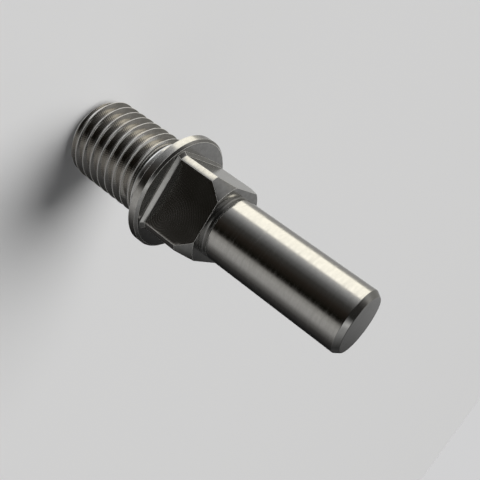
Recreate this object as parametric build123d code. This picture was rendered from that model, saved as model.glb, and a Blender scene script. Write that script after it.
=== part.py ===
from build123d import *
import os
from math import radians, tan

# The spindle is turned and milled from one bar of steel. It is drawn upright on the Z axis, with
# the front face of the flange at height zero, and lifted last to stand on its faced thread end.

# Male screw thread, M20 x 2.5, right hand
thread_major_diameter = 19.65
thread_depth = 1.355
thread_pitch = 2.5
thread_crest_width = 0.35
thread_flank_angle = 30.0
thread_overlap = 0.15
thread_end_height = -27.75
thread_end_diameter = 16.4
thread_crest_height_at_x_axis = -16.69
thread_lead_in_turns = 6
thread_finish_height = -4.4
thread_core_end_height = -3.5

# Plain collar between the thread and the flange
collar_diameter = 19.8
collar_start_height = -6.5
collar_edge_radius = 0.8
collar_root_chamfer = 0.3

# Flange
flange_diameter = 27.5
flange_thickness = 2.5
flange_front_chamfer = 0.55
flange_rear_chamfer = 0.2

# Square for an open-ended spanner, with turned corners and a coned end
square_across_flats = 18.0
square_corner_diameter = 23.8
square_length = 13.3
square_end_diameter = 20.4
square_cone_angle = 25.0
square_base_radius = 0.75

# Ground shank, with a relief at its root and a chamfered end
shank_diameter = 15.0
shank_end_height = 49.0
shank_chamfer_length = 1.25
shank_chamfer_depth = 0.85
relief_depth = 0.25
relief_length = 0.9
relief_root_chamfer = 0.2
relief_exit_length = 0.35

thread_major_radius = thread_major_diameter / 2
thread_minor_radius = thread_major_radius - thread_depth
thread_end_radius = thread_end_diameter / 2
collar_radius = collar_diameter / 2
flange_radius = flange_diameter / 2
shank_radius = shank_diameter / 2
relief_radius = shank_radius - relief_depth


def turn(points):
    """Revolve a closed outline of (radius, height) points about the turning axis."""
    outline = Polyline([(radius, 0, height) for radius, height in points], close=True)
    return revolve(make_face(outline), axis=Axis.Z)


def stub(start_radius, end_radius, start_height, end_height):
    """A round stub on the turning axis, straight or coned, between two heights."""
    length = end_height - start_height
    base = (Align.CENTER, Align.CENTER, Align.MIN)
    if start_radius == end_radius:
        return Pos(0, 0, start_height) * Cylinder(start_radius, length, align=base)
    return Pos(0, 0, start_height) * Cone(start_radius, end_radius, length, align=base)


def circles_at(solid, height, radius):
    """The round edges of a turned solid at one height and radius."""
    found = []
    for edge in solid.edges().filter_by(GeomType.CIRCLE):
        same_height = abs(edge.center().Z - height) < 1e-4
        same_radius = abs(edge.radius - radius) < 1e-4
        if same_height and same_radius:
            found.append(edge)
    return found


# The turned blank from the collar to the shank's end, without the square
relief_end_height = square_length + relief_length
blank = turn([
    (0, collar_start_height),
    (collar_radius, collar_start_height),
    (collar_radius, -flange_thickness - collar_root_chamfer),
    (collar_radius + collar_root_chamfer, -flange_thickness),
    (flange_radius - flange_rear_chamfer, -flange_thickness),
    (flange_radius, -flange_thickness + flange_rear_chamfer),
    (flange_radius, -flange_front_chamfer),
    (flange_radius - flange_front_chamfer, 0),
    (relief_radius, 0),
    (relief_radius, relief_end_height),
    (shank_radius, relief_end_height + relief_exit_length),
    (shank_radius, shank_end_height - shank_chamfer_length),
    (shank_radius - shank_chamfer_depth, shank_end_height),
    (0, shank_end_height),
])
blank = fillet(circles_at(blank, collar_start_height, collar_radius), collar_edge_radius)

# The square: four milled flats on a turned and coned boss
corner_radius = square_corner_diameter / 2
end_radius = square_end_diameter / 2
cone_length = (corner_radius - end_radius) / tan(radians(square_cone_angle))
boss = turn([
    (0, -flange_thickness / 2),
    (corner_radius, -flange_thickness / 2),
    (corner_radius, square_length - cone_length),
    (end_radius, square_length),
    (0, square_length),
])
square = boss & Box(square_across_flats, square_across_flats, 3 * square_length)
body = blank + square

base_edges = []
for edge in body.edges():
    middle = edge.position_at(0.5)
    on_flange_face = abs(middle.Z) < 1e-4 and abs(edge.position_at(0).Z) < 1e-4
    if on_flange_face and (middle.X**2 + middle.Y**2) ** 0.5 < corner_radius + 0.01:
        base_edges.append(edge)
body = fillet(base_edges, square_base_radius)
body = chamfer(circles_at(body, square_length, relief_radius), relief_root_chamfer)

# The thread: one tooth, drawn in the plane of the axis, is swept along the helix round a core
ridge_start_height = thread_crest_height_at_x_axis - thread_lead_in_turns * thread_pitch
ridge_height = thread_finish_height - ridge_start_height
ridge_foot_radius = thread_minor_radius - thread_overlap
ridge_top_radius = thread_major_radius + thread_overlap
flank_slope = tan(radians(thread_flank_angle))
crest_half = thread_crest_width / 2
foot_half = crest_half + (thread_major_radius - ridge_foot_radius) * flank_slope
top_half = crest_half - thread_overlap * flank_slope
tooth = make_face(Polyline(
    (ridge_foot_radius, 0, ridge_start_height - foot_half),
    (ridge_top_radius, 0, ridge_start_height - top_half),
    (ridge_top_radius, 0, ridge_start_height + top_half),
    (ridge_foot_radius, 0, ridge_start_height + foot_half),
    close=True,
))
helix = Helix(thread_pitch, ridge_height, thread_minor_radius, center=(0, 0, ridge_start_height))
ridge = sweep(tooth, path=helix, is_frenet=True)
core = stub(thread_minor_radius, thread_minor_radius, ridge_start_height, thread_core_end_height)

# The thread is turned down to its major diameter, faced to length, and chamfered at 45 degrees
bar = stub(thread_major_radius, thread_major_radius, thread_end_height, thread_core_end_height)
thread_length = thread_core_end_height - thread_end_height
chamfer_cone = stub(
    thread_end_radius, thread_end_radius + thread_length, thread_end_height, thread_core_end_height
)
thread = (core + ridge) & chamfer_cone & bar
spindle = body + thread

# It stands on its faced thread end, with the origin at the middle of that face
spindle = Pos(0, 0, -thread_end_height) * spindle

os.makedirs("parts", exist_ok=True)
export_step(spindle, "parts/spindle.step")
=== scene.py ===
import math

import bpy
from mathutils import Matrix, Vector


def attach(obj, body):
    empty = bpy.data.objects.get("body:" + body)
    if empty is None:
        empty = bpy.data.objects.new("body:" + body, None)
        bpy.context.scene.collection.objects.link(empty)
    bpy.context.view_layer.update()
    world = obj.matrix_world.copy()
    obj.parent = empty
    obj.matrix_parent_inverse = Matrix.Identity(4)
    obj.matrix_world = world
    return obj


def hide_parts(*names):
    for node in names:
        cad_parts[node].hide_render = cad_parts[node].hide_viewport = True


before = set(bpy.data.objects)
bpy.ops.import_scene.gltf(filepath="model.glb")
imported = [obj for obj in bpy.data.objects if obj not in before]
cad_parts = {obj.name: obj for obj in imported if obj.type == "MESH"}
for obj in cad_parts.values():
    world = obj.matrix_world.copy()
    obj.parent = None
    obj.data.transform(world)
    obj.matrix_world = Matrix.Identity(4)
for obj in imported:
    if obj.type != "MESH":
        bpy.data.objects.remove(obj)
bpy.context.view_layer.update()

# --- How the spindle stands ---
# The spindle stands on its faced thread end, as it was held in the lathe but upright. Heights are
# measured from the front face of the flange, and each shape is lifted to the floor once made.
MM = 0.001
THREAD_END = -27.75 * MM
lift = Matrix.Translation((0.0, 0.0, -THREAD_END))

# --- Broken edges, with a painted highlight ---
# Every edge is broken with a touch of the tool or a file, which leaves a fine line of satin steel
# beside the smoother faces. The edge steel's pale, half-matt colour is a painted highlight, so
# that each edge shows a fine bright line.
EDGE = 0.08 * MM


def steel_nodes(name, colour, roughness, anisotropy):
    """A bare steel material; returns it with its nodes, its links and its shader."""
    material = bpy.data.materials.new(name)
    material.use_nodes = True
    nodes = material.node_tree.nodes
    shader = nodes["Principled BSDF"]
    shader.inputs["Base Color"].default_value = (*colour, 1.0)
    shader.inputs["Metallic"].default_value = 1.0
    shader.inputs["Roughness"].default_value = roughness
    shader.inputs["Anisotropic"].default_value = anisotropy
    if anisotropy:
        tangent = nodes.new("ShaderNodeTangent")
        tangent.direction_type = "UV_MAP"
        tangent.uv_map = "turning"
        material.node_tree.links.new(tangent.outputs["Tangent"], shader.inputs["Tangent"])
    return material, nodes, material.node_tree.links, shader


def lathe_place(nodes):
    """Place on the spindle, in metres, for marks that follow the lathe."""
    return nodes.new("ShaderNodeTexCoord").outputs["Object"]


def stretched_noise(nodes, links, place, scale, detail):
    """Noise drawn out by a different amount along each direction."""
    stretch = nodes.new("ShaderNodeMapping")
    stretch.inputs["Scale"].default_value = scale
    noise = nodes.new("ShaderNodeTexNoise")
    noise.inputs["Scale"].default_value = 1.0
    noise.inputs["Detail"].default_value = detail
    links.new(place, stretch.inputs["Vector"])
    links.new(stretch.outputs["Vector"], noise.inputs["Vector"])
    return noise.outputs["Fac"]


def vary_reflection(nodes, links, shader, pattern, darker, lighter):
    """Lets the steel's own tone follow a pattern between two tones."""
    tone = nodes.new("ShaderNodeValToRGB")
    dark_stop, light_stop = tone.color_ramp.elements
    dark_stop.position, light_stop.position = 0.3, 0.7
    dark_stop.color = (*darker, 1.0)
    light_stop.color = (*lighter, 1.0)
    links.new(pattern, tone.inputs["Fac"])
    links.new(tone.outputs["Color"], shader.inputs["Base Color"])


def vary_roughness(nodes, links, shader, pattern, low, high):
    """Lets the roughness follow a pattern between two values."""
    spread = nodes.new("ShaderNodeMapRange")
    spread.inputs["To Min"].default_value = low
    spread.inputs["To Max"].default_value = high
    links.new(pattern, spread.inputs["Value"])
    links.new(spread.outputs["Result"], shader.inputs["Roughness"])


# Edge steel: pale and half-matt, a painted highlight on every broken edge; the nicks vary it at
# random.
edge_highlight_steel, nodes, links, shader = steel_nodes("broken_edge_highlight_steel", (0.8, 0.79, 0.77), 0.5, 0.0)
shader.inputs["Metallic"].default_value = 0.4
nicks = stretched_noise(nodes, links, lathe_place(nodes), (1500.0, 1500.0, 1500.0), 3.0)
vary_reflection(nodes, links, shader, nicks, (0.55, 0.545, 0.53), (0.88, 0.87, 0.85))
vary_roughness(nodes, links, shader, nicks, 0.35, 0.55)

# --- Screw thread ---
# M20 coarse thread, cut with a single point in the lathe and left bright. Fine chatter lines
# cross its flanks. Its crests are rubbed smooth, and given a paler, half-matt colour that paints
# a highlight along each crest. The end is faced and chamfered.
THREAD_MAJOR = 9.825 * MM
THREAD_MINOR = 8.47 * MM
THREAD_PITCH = 2.5 * MM
THREAD_END_RADIUS = 8.2 * MM
FLANK_ANGLE = math.radians(30)
CREST_HALF_WIDTH = 0.08 * MM
CREST_ROUNDING = 0.04 * MM
ROOT_ROUNDING = 0.12 * MM
CREST_AT_X_AXIS = -16.69 * MM
LEAD_IN_TURNS = 5
THREAD_TURNS = 11
POINTS_PER_TURN = 128
POINTS_ACROSS = 41
KEPT_BELOW_END = 0.02 * MM
WELD = 0.004 * MM
CHATTER_MARKS_PER_TURN = 120
CHATTER_HEIGHT = 0.0065 * MM
SMEAR_HEIGHT = 0.012 * MM
RUBBED_HIGHLIGHT_HALF_WIDTH_MM = 0.09
RUBBED_HIGHLIGHT_FADE_MM = 0.12


def round_and_along(nodes, links, around, along):
    """Place on the turned skin: turns round the axis and millimetres along it, each scaled."""
    skin_place = nodes.new("ShaderNodeUVMap")
    skin_place.uv_map = "turning"
    stretch = nodes.new("ShaderNodeMapping")
    stretch.inputs["Scale"].default_value = (around, along, 1.0)
    links.new(skin_place.outputs["UV"], stretch.inputs["Vector"])
    return stretch.outputs["Vector"]


def add_bump(nodes, links, shader, pattern, height, strength=1.0):
    """Raises the surface by the height given, on top of any bump it has."""
    bump = nodes.new("ShaderNodeBump")
    bump.inputs["Distance"].default_value = height
    bump.inputs["Strength"].default_value = strength
    links.new(pattern, bump.inputs["Height"])
    if shader.inputs["Normal"].is_linked:
        links.new(shader.inputs["Normal"].links[0].from_socket, bump.inputs["Normal"])
    links.new(bump.outputs["Normal"], shader.inputs["Normal"])


def wired(tree, kind, operation, *values):
    """First output of a new node whose inputs take, in order, the numbers or links given."""
    made = tree.nodes.new(kind)
    if operation:
        made.operation = operation
    for socket, value in zip(made.inputs, values):
        if hasattr(value, "is_output"):
            tree.links.new(value, socket)
        else:
            socket.default_value = value
    return made.outputs[0]


thread_steel, nodes, links, shader = steel_nodes("cut_thread_steel", (0.58, 0.565, 0.54), 0.15, 0.0)
around_thread = 2 * math.pi * CHATTER_MARKS_PER_TURN
marks = nodes.new("ShaderNodeSeparateXYZ")
links.new(round_and_along(nodes, links, around_thread, 1.0), marks.inputs["Vector"])
ripple = wired(shader.id_data, "ShaderNodeMath", "SINE", marks.outputs["X"])
add_bump(nodes, links, shader, ripple, CHATTER_HEIGHT)
along_cut = round_and_along(nodes, links, 30.0, 4.0)
smear = stretched_noise(nodes, links, along_cut, (1.0, 1.0, 1.0), 4.0)
add_bump(nodes, links, shader, smear, SMEAR_HEIGHT)
vary_reflection(nodes, links, shader, smear, (0.42, 0.405, 0.38), (0.58, 0.565, 0.54))
patches = stretched_noise(nodes, links, lathe_place(nodes), (220.0, 220.0, 400.0), 4.0)
vary_roughness(nodes, links, shader, patches, 0.02, 0.13)
off_middle = wired(shader.id_data, "ShaderNodeMath", "ABSOLUTE", marks.outputs["Y"])
# Crest mask: where it is full, the crest takes a pale, half-matt colour that paints a highlight.
crest = nodes.new("ShaderNodeMapRange")
crest.inputs["From Min"].default_value = RUBBED_HIGHLIGHT_FADE_MM
crest.inputs["From Max"].default_value = RUBBED_HIGHLIGHT_HALF_WIDTH_MM
links.new(off_middle, crest.inputs["Value"])


def rub_and_paint_crest_highlight(label, finish):
    """Brings one input of the thread's shader over to the rubbed crest's finish, whose paler,
    half-matt colour paints a highlight.
    """
    socket = shader.inputs[label]
    kind = "VALUE" if isinstance(finish, float) else "RGBA"
    mix = nodes.new("ShaderNodeMix")
    mix.data_type = "FLOAT" if kind == "VALUE" else "RGBA"
    flank, top = [side for side in mix.inputs if side.name in "AB" and side.type == kind]
    if socket.is_linked:
        links.new(socket.links[0].from_socket, flank)
    else:
        flank.default_value = socket.default_value
    top.default_value = finish
    links.new(crest.outputs["Result"], mix.inputs["Factor"])
    links.new([side for side in mix.outputs if side.type == kind][0], socket)


# The crest's pale colour and half-matt metal are a painted highlight; its roughness is the rubbed
# wear.
rub_and_paint_crest_highlight("Base Color", (0.78, 0.77, 0.75, 1.0))
rub_and_paint_crest_highlight("Metallic", 0.5)
rub_and_paint_crest_highlight("Roughness", 0.5)

# The thread is one strip, a pitch wide, wound round the axis; its radius follows the tooth's form
# and the end's chamfer, and neighbouring turns are welded along the root.
rule = bpy.data.node_groups.new("screw_thread", "GeometryNodeTree")
thread_inputs = {
    "Turns": ("NodeSocketFloat", THREAD_TURNS),
    "Pitch": ("NodeSocketFloat", THREAD_PITCH),
    "Major radius": ("NodeSocketFloat", THREAD_MAJOR),
    "Minor radius": ("NodeSocketFloat", THREAD_MINOR),
    "Crest half width": ("NodeSocketFloat", CREST_HALF_WIDTH),
    "First crest height": ("NodeSocketFloat", CREST_AT_X_AXIS - LEAD_IN_TURNS * THREAD_PITCH),
    "End height": ("NodeSocketFloat", THREAD_END),
    "End radius": ("NodeSocketFloat", THREAD_END_RADIUS),
    "Crest rounding": ("NodeSocketFloat", CREST_ROUNDING),
    "Root rounding": ("NodeSocketFloat", ROOT_ROUNDING),
    "Points across": ("NodeSocketInt", POINTS_ACROSS),
    "Points along": ("NodeSocketInt", THREAD_TURNS * POINTS_PER_TURN + 1),
    "Steel": ("NodeSocketMaterial", thread_steel),
}
for label, (kind, value) in thread_inputs.items():
    rule.interface.new_socket(label, in_out="INPUT", socket_type=kind)
rule.interface.new_socket("Thread", in_out="OUTPUT", socket_type="NodeSocketGeometry")
given = rule.nodes.new("NodeGroupInput").outputs


def calc(operation, *values):
    """Result of one step of the thread's rule."""
    return wired(rule, "ShaderNodeMath", operation, *values)


strip = rule.nodes.new("GeometryNodeMeshGrid")
for socket, label in zip(strip.inputs, ("Pitch", "Turns", "Points across", "Points along")):
    rule.links.new(given[label], socket)
apart = rule.nodes.new("ShaderNodeSeparateXYZ")
rule.links.new(rule.nodes.new("GeometryNodeInputPosition").outputs[0], apart.inputs[0])
across = apart.outputs["X"]
turn = calc("MULTIPLY_ADD", given["Turns"], 0.5, apart.outputs["Y"])
angle = calc("MULTIPLY", turn, 2 * math.pi)
wound_height = calc("MULTIPLY_ADD", turn, given["Pitch"], given["First crest height"])
height = calc("ADD", wound_height, across)
off_crest = calc("SUBTRACT", calc("ABSOLUTE", across), given["Crest half width"])
flank = calc("MULTIPLY_ADD", off_crest, -1 / math.tan(FLANK_ANGLE), given["Major radius"])
tooth = calc("SMOOTH_MIN", flank, given["Major radius"], given["Crest rounding"])
tooth = calc("SMOOTH_MAX", tooth, given["Minor radius"], given["Root rounding"])
above_end = calc("SUBTRACT", height, given["End height"])
chamfer = calc("ADD", above_end, given["End radius"])
radius = calc("MINIMUM", tooth, chamfer)
spot = wired(
    rule, "ShaderNodeCombineXYZ", None,
    calc("MULTIPLY", radius, calc("COSINE", angle)),
    calc("MULTIPLY", radius, calc("SINE", angle)),
    height,
)
uv = wired(rule, "ShaderNodeCombineXYZ", None, turn, calc("DIVIDE", across, MM))
wound = rule.nodes.new("GeometryNodeStoreNamedAttribute")
wound.data_type = "FLOAT2"
wound.domain = "CORNER"
wound.inputs["Name"].default_value = "turning"
rule.links.new(strip.outputs["Mesh"], wound.inputs["Geometry"])
rule.links.new(uv, wound.inputs["Value"])
spare = rule.nodes.new("GeometryNodeDeleteGeometry")
rule.links.new(wound.outputs[0], spare.inputs["Geometry"])
rule.links.new(calc("LESS_THAN", above_end, KEPT_BELOW_END), spare.inputs["Selection"])
bent = rule.nodes.new("GeometryNodeSetPosition")
rule.links.new(spare.outputs[0], bent.inputs["Geometry"])
rule.links.new(spot, bent.inputs["Position"])
welded = rule.nodes.new("GeometryNodeMergeByDistance")
welded.inputs["Distance"].default_value = WELD
rule.links.new(bent.outputs[0], welded.inputs["Geometry"])
smooth = rule.nodes.new("GeometryNodeSetShadeSmooth")
rule.links.new(welded.outputs[0], smooth.inputs["Geometry"])
real = rule.nodes.new("GeometryNodeRealizeInstances")
rule.links.new(smooth.outputs[0], real.inputs["Geometry"])
coated = rule.nodes.new("GeometryNodeSetMaterial")
rule.links.new(real.outputs[0], coated.inputs["Geometry"])
rule.links.new(given["Steel"], coated.inputs["Material"])
result = rule.nodes.new("NodeGroupOutput")
rule.links.new(coated.outputs[0], result.inputs["Thread"])


def finished_mesh(part):
    """Plain mesh of a part with its modifiers worked into it."""
    graph = bpy.context.evaluated_depsgraph_get()
    return bpy.data.meshes.new_from_object(
        part.evaluated_get(graph), preserve_all_data_layers=True, depsgraph=graph
    )


thread = bpy.data.objects.new("thread", bpy.data.meshes.new("thread"))
bpy.context.collection.objects.link(thread)
winding = thread.modifiers.new("winding", "NODES")
winding.node_group = rule
for item in rule.interface.items_tree:
    if item.in_out == "INPUT":
        winding[item.identifier] = thread_inputs[item.name][1]
wound_mesh = finished_mesh(thread)
thread.modifiers.remove(winding)
thread.data = wound_mesh
thread.data.transform(lift)

# --- Turned faces: thread end, collar and flange ---
# The plain collar takes the tapped part's countersink, and the thin flange is the stop that the
# part is screwed up against. Both are finish-turned; every edge is lightly broken.
COLLAR_RADIUS = 9.9 * MM
COLLAR_START = -6.5 * MM
COLLAR_EDGE_RADIUS = 0.8 * MM
COLLAR_ROOT_RADIUS = 0.4 * MM
FLANGE_RADIUS = 13.75 * MM
FLANGE_THICKNESS = 2.5 * MM
FLANGE_CHAMFER = 0.55 * MM
FLANGE_REAR_CHAMFER = 0.2 * MM
FLANGE_REAR_EDGE = 0.04 * MM
FLANGE_REAR_RIM = 0.07 * MM
END_LAP = 0.12 * MM
END_PLUG = 0.5 * MM
END_PLUG_STEP = 0.3 * MM
FEED_HEIGHT = 0.01 * MM
STEPS_ROUND = 256
ARC_STEPS = 8


def skin(name, rows, materials, highlight_bands=()):
    """Closed skin over rings of (radius, angle, height); a single point closes an end.

    A band in the highlight bands, numbered from the first ring, takes the second material: the
    edge steel, whose pale colour paints a highlight.
    """
    points = []
    starts = []
    for row in rows:
        starts.append(len(points))
        points.extend(
            Vector((r * math.cos(a), r * math.sin(a), h)) for r, a, h in row
        )
    faces = []
    finishes = []
    corners = []
    along = 0.0
    for lower in range(len(rows) - 1):
        first, second = rows[lower], rows[lower + 1]
        step = math.dist((first[0][0], first[0][2]), (second[0][0], second[0][2]))
        count = max(len(first), len(second))
        for k in range(count):
            left, right = k / count, (k + 1) / count
            quad = []
            for row, start, u, v in (
                (first, starts[lower], left, along),
                (first, starts[lower], right, along),
                (second, starts[lower + 1], right, along + step),
                (second, starts[lower + 1], left, along + step),
            ):
                index = start + (round(u * count) % len(row) if len(row) > 1 else 0)
                if not quad or index not in [q[0] for q in quad]:
                    quad.append((index, (u, v / MM)))
            faces.append([q[0] for q in quad])
            finishes.append(1 if lower in highlight_bands else 0)
            corners.extend(q[1] for q in quad)
        along += step
    mesh = bpy.data.meshes.new(name)
    mesh.from_pydata(points, [], faces)
    layer = mesh.uv_layers.new(name="turning")
    for loop, place in enumerate(corners):
        layer.data[loop].uv = place
    for material in materials:
        mesh.materials.append(material)
    mesh.polygons.foreach_set("material_index", finishes)
    mesh.shade_smooth()
    mesh.transform(lift)
    part = bpy.data.objects.new(name, mesh)
    bpy.context.collection.objects.link(part)
    return part


def rounded_outline(corners):
    """Outline through (radius, height, rounding) corners, with each corner rounded to an arc.

    Also gives the steps of it that are a finely broken edge.
    """
    outline = []
    broken = []
    last = len(corners) - 1
    for k, (r, h, rounding) in enumerate(corners):
        here = Vector((r, h))
        if not rounding or k in (0, last):
            outline.append(here)
            continue
        back = (Vector(corners[k - 1][:2]) - here).normalized()
        ahead = (Vector(corners[k + 1][:2]) - here).normalized()
        half = back.angle(ahead) / 2
        reach = rounding / math.tan(half)
        centre = here + (back + ahead).normalized() * (rounding / math.sin(half))
        start = here + back * reach - centre
        turn = start.angle_signed(here + ahead * reach - centre)
        # Small arcs take the edge steel, whose pale colour paints a highlight on the broken edge.
        if rounding <= EDGE:
            broken.extend(range(len(outline), len(outline) + ARC_STEPS))
        for step in range(ARC_STEPS + 1):
            arm = start.copy()
            arm.rotate(Matrix.Rotation(-turn * step / ARC_STEPS, 2))
            outline.append(centre + arm)
    return outline, broken


def turned(name, corners, material):
    """Skin of revolution from rounded corners; a corner on the axis closes to a point."""
    rows = []
    outline, broken = rounded_outline(corners)
    for r, h in outline:
        if r == 0.0:
            rows.append([(0.0, 0.0, h)])
        else:
            rows.append([(r, 2 * math.pi * k / STEPS_ROUND, h) for k in range(STEPS_ROUND)])
    return skin(name, rows, (material, edge_highlight_steel), broken)


turned_steel, nodes, links, shader = steel_nodes("turned_steel", (0.58, 0.575, 0.56), 0.12, 0.4)
place = lathe_place(nodes)
feed = stretched_noise(nodes, links, place, (500.0, 500.0, 9000.0), 3.0)
add_bump(nodes, links, shader, feed, FEED_HEIGHT, 0.25)
scuffs = stretched_noise(nodes, links, place, (900.0, 900.0, 1400.0), 6.0)
vary_reflection(nodes, links, shader, scuffs, (0.48, 0.475, 0.46), (0.60, 0.595, 0.58))
patches = stretched_noise(nodes, links, place, (160.0, 160.0, 260.0), 5.0)
vary_roughness(nodes, links, shader, patches, 0.08, 0.2)

chamfer_top = THREAD_MINOR - END_LAP
thread_end = turned("thread_end", [
    (0.0, THREAD_END, 0),
    (THREAD_END_RADIUS, THREAD_END, EDGE),
    (chamfer_top, THREAD_END + chamfer_top - THREAD_END_RADIUS, 0),
    (chamfer_top - END_PLUG_STEP, THREAD_END + END_PLUG, 0),
    (0.0, THREAD_END + END_PLUG, 0),
], turned_steel)
flange = turned("flange", [
    (0.0, COLLAR_START, 0),
    (COLLAR_RADIUS, COLLAR_START, COLLAR_EDGE_RADIUS),
    (COLLAR_RADIUS, -FLANGE_THICKNESS, COLLAR_ROOT_RADIUS),
    (FLANGE_RADIUS - FLANGE_REAR_CHAMFER, -FLANGE_THICKNESS, FLANGE_REAR_EDGE),
    (FLANGE_RADIUS, -FLANGE_THICKNESS + FLANGE_REAR_CHAMFER, FLANGE_REAR_RIM),
    (FLANGE_RADIUS, -FLANGE_CHAMFER, EDGE),
    (FLANGE_RADIUS - FLANGE_CHAMFER, 0.0, EDGE),
    (0.0, 0.0, 0),
], turned_steel)

# --- Spanner square ---
# Four flats milled on a turned and coned boss, so the corners stay round and keep the turned
# finish. The cutter leaves a small radius where the flats meet the flange, and faint swirls.
SQUARE_HALF = 9.0 * MM
SQUARE_CORNER = 11.9 * MM
SQUARE_LENGTH = 13.3 * MM
SQUARE_END_RADIUS = 10.2 * MM
SQUARE_BASE_RADIUS = 0.75 * MM
BASE_ROUND_SHARE = 0.1
CONE_SLOPE = math.tan(math.radians(25))
SHANK_RELIEF_RADIUS = 7.25 * MM
SUNK = 0.5 * MM
FLAT_TOLERANCE = 0.01 * MM
BEVEL = 0.09 * MM
CUTTER_CENTRE = Vector((4.5, -9.0, 31.5)) * MM
SWIRL_HEIGHT = 0.0055 * MM
GRAIN_HEIGHT = 0.004 * MM
FLAT_STEPS = 10
FLANK_STEPS = 8
CORNER_STEPS = 6
BASE_STEPS = 8
SIDE_STEPS = 8
CONE_STEPS = 6

milled_steel, nodes, links, shader = steel_nodes("milled_steel", (0.58, 0.57, 0.55), 0.15, 0.0)
place = lathe_place(nodes)
from_cutter = nodes.new("ShaderNodeMapping")
from_cutter.inputs["Location"].default_value = -CUTTER_CENTRE
links.new(place, from_cutter.inputs["Vector"])
swirl = nodes.new("ShaderNodeTexWave")
swirl.wave_type = "RINGS"
swirl.rings_direction = "SPHERICAL"
swirl.inputs["Scale"].default_value = 560.0
swirl.inputs["Distortion"].default_value = 5.0
swirl.inputs["Detail"].default_value = 3.0
swirl.inputs["Detail Scale"].default_value = 0.35
links.new(from_cutter.outputs["Vector"], swirl.inputs["Vector"])
add_bump(nodes, links, shader, swirl.outputs["Fac"], SWIRL_HEIGHT)
grain = stretched_noise(nodes, links, place, (2600.0, 2600.0, 2600.0), 4.0)
add_bump(nodes, links, shader, grain, GRAIN_HEIGHT)
patches = stretched_noise(nodes, links, place, (200.0, 200.0, 200.0), 5.0)
vary_roughness(nodes, links, shader, patches, 0.1, 0.22)

half_flat = math.acos(SQUARE_HALF / SQUARE_CORNER)
half_end = math.acos(SQUARE_HALF / SQUARE_END_RADIUS)
corner_gap = math.pi / 2 - 2 * half_flat
flat_angles = [half_end * k / FLAT_STEPS for k in range(1 - FLAT_STEPS, FLAT_STEPS)]
flank_angles = [
    half_end + (half_flat - half_end) * k / FLANK_STEPS for k in range(FLANK_STEPS + 1)
]
side_angles = [-a for a in reversed(flank_angles)] + flat_angles + flank_angles
side_angles += [half_flat + corner_gap * k / CORNER_STEPS for k in range(1, CORNER_STEPS)]
around_square = [(a, a + side * math.pi / 2) for side in range(4) for a in side_angles]


def square_radius(a):
    """Distance from the axis to the flat or the round corner at an angle off the flat's middle."""
    if abs(a) <= half_flat:
        return SQUARE_HALF / math.cos(a)
    return SQUARE_CORNER


def past_end(a):
    """How far the flat or the corner stands out past the end of the cone."""
    return square_radius(a) - min(square_radius(a), SQUARE_END_RADIUS)


def cone_start(a):
    """Height at which the cone cuts the flat or the corner."""
    return SQUARE_LENGTH - past_end(a) / CONE_SLOPE


def square_row(out, height):
    """Ring of the square, moved out from its side and set at a height, each by its angle."""
    return [(square_radius(a) + out(a), angle, height(a)) for a, angle in around_square]


square_rows = [[(0.0, 0.0, -SUNK)]]
square_rows.append(square_row(lambda a: SQUARE_BASE_RADIUS, lambda a: -SUNK))
for step in range(BASE_STEPS + 1):
    share = step / BASE_STEPS
    bend = math.pi / 2 * share
    out = BASE_ROUND_SHARE * (1 - math.sin(bend)) + (1 - BASE_ROUND_SHARE) * (1 - share)
    rise = BASE_ROUND_SHARE * (1 - math.cos(bend)) + (1 - BASE_ROUND_SHARE) * share
    square_rows.append(square_row(
        lambda a: SQUARE_BASE_RADIUS * out, lambda a: SQUARE_BASE_RADIUS * rise
    ))
for step in range(1, SIDE_STEPS + 1):
    share = step / SIDE_STEPS
    square_rows.append(square_row(
        lambda a: 0.0,
        lambda a: SQUARE_BASE_RADIUS + (cone_start(a) - SQUARE_BASE_RADIUS) * share,
    ))
for step in range(1, CONE_STEPS + 1):
    share = step / CONE_STEPS
    square_rows.append(square_row(
        lambda a: -past_end(a) * share,
        lambda a: cone_start(a) + (SQUARE_LENGTH - cone_start(a)) * share,
    ))
square_rows.append([
    (SHANK_RELIEF_RADIUS - SUNK, angle, SQUARE_LENGTH) for a, angle in around_square
])
square_rows.append([(0.0, 0.0, SQUARE_LENGTH)])
square = skin("square", square_rows, (milled_steel, edge_highlight_steel, turned_steel))
for face in square.data.polygons:
    off_flat = abs(max(abs(face.center.x), abs(face.center.y)) - SQUARE_HALF)
    if off_flat > FLAT_TOLERANCE:
        face.material_index = 2
# The bevel faces take the edge steel, whose pale colour paints a highlight along each edge.
broken = square.modifiers.new("broken_edges", "BEVEL")
broken.width = BEVEL
broken.segments = 2
broken.material = 1
broken.limit_method = "ANGLE"
broken.angle_limit = math.radians(20)
square.data = finished_mesh(square)
square.modifiers.clear()

# --- Shank ---
# Plain cylinder ground to size, with a narrow relief at its root for the grinding wheel and a
# chamfered, faced end.
SHANK_RADIUS = 7.5 * MM
SHANK_END = 49.0 * MM
SHANK_CHAMFER = 1.25 * MM
SHANK_CHAMFER_DEPTH = 0.85 * MM
SHANK_EDGE = 0.25 * MM
RELIEF_ROOT = 0.3 * MM
RELIEF_LIFT = 0.001 * MM
RELIEF_LENGTH = 0.9 * MM
RELIEF_END = 1.25 * MM
SHANK_SUNK = 0.4 * MM
GRIND_HEIGHT = 0.0022 * MM

ground_steel, nodes, links, shader = steel_nodes("ground_steel", (0.58, 0.575, 0.56), 0.12, 0.3)
round_shank = round_and_along(nodes, links, 30.0, 2.0)
grind = stretched_noise(nodes, links, round_shank, (1.0, 1.0, 1.0), 4.0)
add_bump(nodes, links, shader, grind, GRIND_HEIGHT)
vary_reflection(nodes, links, shader, grind, (0.555, 0.55, 0.535), (0.605, 0.60, 0.585))
streaks = stretched_noise(nodes, links, lathe_place(nodes), (120.0, 120.0, 1500.0), 5.0)
vary_roughness(nodes, links, shader, streaks, -0.08, 0.36)

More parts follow.
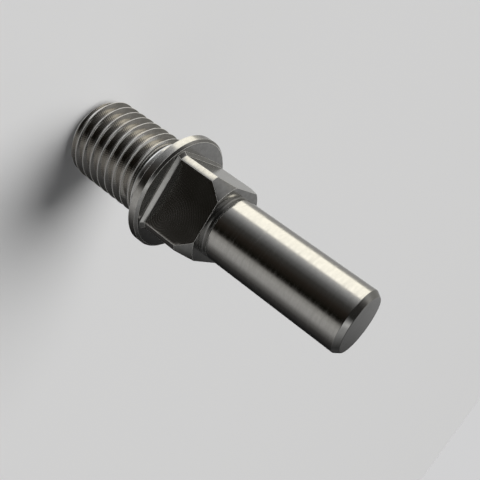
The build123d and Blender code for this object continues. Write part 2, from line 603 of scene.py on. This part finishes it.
shank = turned("shank", [
    (0.0, SQUARE_LENGTH - SHANK_SUNK, 0),
    (SHANK_RELIEF_RADIUS + RELIEF_ROOT, SQUARE_LENGTH - SHANK_SUNK, 0),
    (SHANK_RELIEF_RADIUS + RELIEF_ROOT, SQUARE_LENGTH, 0),
    (SHANK_RELIEF_RADIUS, SQUARE_LENGTH + RELIEF_LIFT, RELIEF_ROOT),
    (SHANK_RELIEF_RADIUS, SQUARE_LENGTH + RELIEF_LENGTH, EDGE),
    (SHANK_RADIUS, SQUARE_LENGTH + RELIEF_END, EDGE),
    (SHANK_RADIUS, SHANK_END - SHANK_CHAMFER, SHANK_EDGE),
    (SHANK_RADIUS - SHANK_CHAMFER_DEPTH, SHANK_END, SHANK_EDGE),
    (0.0, SHANK_END, 0),
], ground_steel)

# --- One piece of steel ---
# The regions above are one solid bar of steel, so they are joined in one piece, and the shading
# is weighted to the large faces. Steps sharper than SHARP_ANGLE keep a crisp edge.
SHARP_ANGLE = math.radians(14)
parts = [square, thread, thread_end, flange, shank]
for part in parts:
    if part is not thread:
        part.data.set_sharp_from_angle(angle=SHARP_ANGLE)
bpy.ops.object.select_all(action="DESELECT")
bpy.context.view_layer.objects.active = square
for part in parts:
    part.select_set(True)
bpy.ops.object.join()
spindle = square
spindle.name = "turned_spindle"
spindle.data.name = "turned_spindle"
weigh = spindle.modifiers.new("weigh", "WEIGHTED_NORMAL")
weigh.keep_sharp = True
weighed = finished_mesh(spindle)
spindle.modifiers.remove(weigh)
spindle.data = weighed
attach(spindle, "root")
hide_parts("spindle")

# --- Floor ---
# A plain pale sheet that the spindle stands on, laid flat and left matt. It is kept out of the
# steel's reflections, so that the steel mirrors the room.
FLOOR_SIZE = 8.0
bpy.ops.mesh.primitive_plane_add(size=FLOOR_SIZE, location=(0, 0, 0))
floor = bpy.context.object
floor.name = "floor"
floor.visible_glossy = False
sheet = bpy.data.materials.new("pale_sheet")
sheet.use_nodes = True
sheet_shader = sheet.node_tree.nodes["Principled BSDF"]
sheet_shader.inputs["Base Color"].default_value = (0.78, 0.79, 0.815, 1.0)
sheet_shader.inputs["Roughness"].default_value = 0.9
sheet_shader.inputs["Specular IOR Level"].default_value = 0.1
floor.data.materials.append(sheet)

# --- Light ---
# A wide window on one side lights the sheet softly. The room stands round the spindle in upright
# bands, from the window through a dim part to a dark wall, and back over a pale table.
sun = bpy.data.lights.new("window_light", "SUN")
sun.energy = 2.66
sun.angle = math.radians(50)
sun.color = (1.0, 0.985, 0.95)
sun_holder = bpy.data.objects.new("window_light", sun)
bpy.context.collection.objects.link(sun_holder)
sun_azimuth, sun_height = math.radians(167), math.radians(52)
toward_sun = Vector((
    math.cos(sun_height) * math.cos(sun_azimuth),
    math.cos(sun_height) * math.sin(sun_azimuth),
    math.sin(sun_height),
))
sun_holder.rotation_euler = toward_sun.to_track_quat("Z", "Y").to_euler()
sun_holder.visible_glossy = False

# Room brightness round the spindle, in degrees from the window's near edge, in four heights from
# the table up to overhead; straight up it is dark.
WINDOW_EDGE = 131.7
ROOM_BELOW = [
    (0, 0.30, 0.30, 0.30), (15, 0.90, 0.92, 0.95), (90, 0.85, 0.87, 0.90),
    (112, 0.25, 0.25, 0.25), (140, 0.05, 0.05, 0.05), (165, 0.10, 0.10, 0.10),
    (190, 0.30, 0.30, 0.30), (280, 0.36, 0.36, 0.36), (360, 0.30, 0.30, 0.30),
]
ROOM_ROUND = [
    (0, 0.27, 0.265, 0.25), (7, 0.42, 0.41, 0.37), (12, 1.0, 0.96, 0.84),
    (57, 1.0, 0.965, 0.86), (63, 0.40, 0.395, 0.38), (72, 0.25, 0.25, 0.25),
    (88, 0.10, 0.10, 0.10), (104, 0.032, 0.031, 0.029), (125, 0.015, 0.012, 0.0095),
    (150, 0.003, 0.003, 0.002), (157, 0.02, 0.018, 0.016), (166, 0.20, 0.195, 0.185),
    (180, 0.27, 0.265, 0.255), (200, 0.24, 0.235, 0.23), (218, 0.095, 0.093, 0.09),
    (237, 0.028, 0.027, 0.026), (270, 0.006, 0.006, 0.006), (296, 0.02, 0.02, 0.02),
    (314, 0.34, 0.34, 0.335), (330, 0.25, 0.25, 0.245), (346, 0.21, 0.205, 0.20),
    (360, 0.27, 0.265, 0.25),
]
ROOM_ABOVE = [
    (0, 0.14, 0.138, 0.13), (10, 0.15, 0.147, 0.14), (22, 0.215, 0.21, 0.20),
    (40, 0.20, 0.198, 0.19), (60, 0.17, 0.17, 0.17), (76, 0.12, 0.12, 0.12),
    (90, 0.03, 0.03, 0.03), (102, 0.01, 0.01, 0.01), (150, 0.006, 0.006, 0.005),
    (160, 0.02, 0.02, 0.02), (172, 0.09, 0.09, 0.088), (188, 0.15, 0.148, 0.145),
    (217, 0.10, 0.10, 0.10), (239, 0.05, 0.05, 0.049), (257, 0.02, 0.02, 0.02),
    (274, 0.035, 0.035, 0.035), (299, 0.004, 0.004, 0.004), (303, 0.02, 0.02, 0.02),
    (307, 0.10, 0.10, 0.10), (312, 0.18, 0.18, 0.18), (335, 0.15, 0.148, 0.14),
    (360, 0.14, 0.138, 0.13),
]
ROOM_OVERHEAD = [
    (0, 0.20, 0.197, 0.19), (24, 0.20, 0.195, 0.185), (42, 0.06, 0.058, 0.055),
    (65, 0.02, 0.019, 0.018), (125, 0.012, 0.012, 0.011), (138, 0.09, 0.09, 0.09),
    (150, 0.25, 0.25, 0.247), (156, 0.36, 0.36, 0.355), (163, 0.36, 0.36, 0.355),
    (176, 0.21, 0.21, 0.21), (194, 0.19, 0.19, 0.188), (220, 0.10, 0.10, 0.10),
    (245, 0.045, 0.045, 0.045), (300, 0.06, 0.06, 0.06), (345, 0.17, 0.168, 0.165),
    (360, 0.20, 0.197, 0.19),
]
ZENITH = (0.004, 0.004, 0.0035)
ROOM_GAIN = 1.65
BACKGROUND = (0.635, 0.635, 0.64, 1.0)

world = bpy.data.worlds.new("room")
bpy.context.scene.world = world
world.use_nodes = True
w = world.node_tree
w.nodes.clear()
direction = w.nodes.new("ShaderNodeTexCoord")
apart = w.nodes.new("ShaderNodeSeparateXYZ")
w.links.new(direction.outputs["Generated"], apart.inputs[0])


def room_math(operation, *values):
    """Result of one step in finding which part of the room a direction meets."""
    return wired(w, "ShaderNodeMath", operation, *values)


bearing = room_math("ARCTAN2", apart.outputs["Y"], apart.outputs["X"])
turned_by = room_math("SUBTRACT", bearing, math.radians(WINDOW_EDGE))
share_round = room_math("WRAP", room_math("DIVIDE", turned_by, 2 * math.pi), 1.0, 0.0)


def room_ramp(stops):
    """Room colour round the spindle from stops of (degrees, red, green, blue)."""
    ramp = w.nodes.new("ShaderNodeValToRGB")
    while len(ramp.color_ramp.elements) < len(stops):
        ramp.color_ramp.elements.new(0.5)
    for element, (degrees, *colour) in zip(ramp.color_ramp.elements, stops):
        element.position = degrees / 360
        element.color = (*colour, 1.0)
    w.links.new(share_round, ramp.inputs["Fac"])
    return ramp.outputs["Color"]


def laid_over(lower, upper, start, full):
    """Room colour that goes over from one to another as the view rises from start to full."""
    share_up = w.nodes.new("ShaderNodeMapRange")
    share_up.interpolation_type = "SMOOTHSTEP"
    share_up.inputs["From Min"].default_value = start
    share_up.inputs["From Max"].default_value = full
    w.links.new(apart.outputs["Z"], share_up.inputs["Value"])
    mix = w.nodes.new("ShaderNodeMix")
    mix.data_type = "RGBA"
    w.links.new(share_up.outputs["Result"], mix.inputs["Factor"])
    pair = [socket for socket in mix.inputs if socket.type == "RGBA"]
    for socket, colour in zip(pair, (lower, upper)):
        if hasattr(colour, "is_output"):
            w.links.new(colour, socket)
        else:
            socket.default_value = (*colour, 1.0)
    return [socket for socket in mix.outputs if socket.type == "RGBA"][0]


room = laid_over(room_ramp(ROOM_ROUND), room_ramp(ROOM_ABOVE), -0.25, 0.1)
room = laid_over(room, room_ramp(ROOM_OVERHEAD), 0.52, 0.68)
room = laid_over(room, ZENITH, 0.88, 0.96)
room = laid_over(room, room_ramp(ROOM_BELOW), -0.55, -0.63)
ray = w.nodes.new("ShaderNodeLightPath")
dim = w.nodes.new("ShaderNodeBackground")
dim.inputs["Strength"].default_value = ROOM_GAIN
w.links.new(room, dim.inputs["Color"])
pale = w.nodes.new("ShaderNodeBackground")
pale.inputs["Color"].default_value = BACKGROUND
seen = w.nodes.new("ShaderNodeMixShader")
w.links.new(ray.outputs["Is Camera Ray"], seen.inputs[0])
w.links.new(dim.outputs[0], seen.inputs[1])
w.links.new(pale.outputs[0], seen.inputs[2])
ends = w.nodes.new("ShaderNodeOutputWorld")
w.links.new(seen.outputs[0], ends.inputs["Surface"])

# --- Camera ---
# Looks at the spindle from over its shank, turned on its side so that the spindle runs down
# across the frame.
camera = bpy.data.cameras.new("camera")
camera.lens = 52.316
camera.sensor_width = 36.0
camera.clip_start = 0.01
viewer = bpy.data.objects.new("camera", camera)
bpy.context.collection.objects.link(viewer)
right = Vector((-0.51579558, 0.43539579, 0.73782448))
up = Vector((-0.83769435, -0.07586366, -0.5408447))
ahead = Vector((0.1795076, 0.89703677, -0.40385868))
facing = Matrix((right, up, -ahead)).transposed().to_4x4()
viewer.matrix_world = Matrix.Translation((-0.02608897, -0.1325236, 0.10515591)) @ facing
bpy.context.scene.camera = viewer
bpy.context.scene.view_settings.view_transform = "Standard"
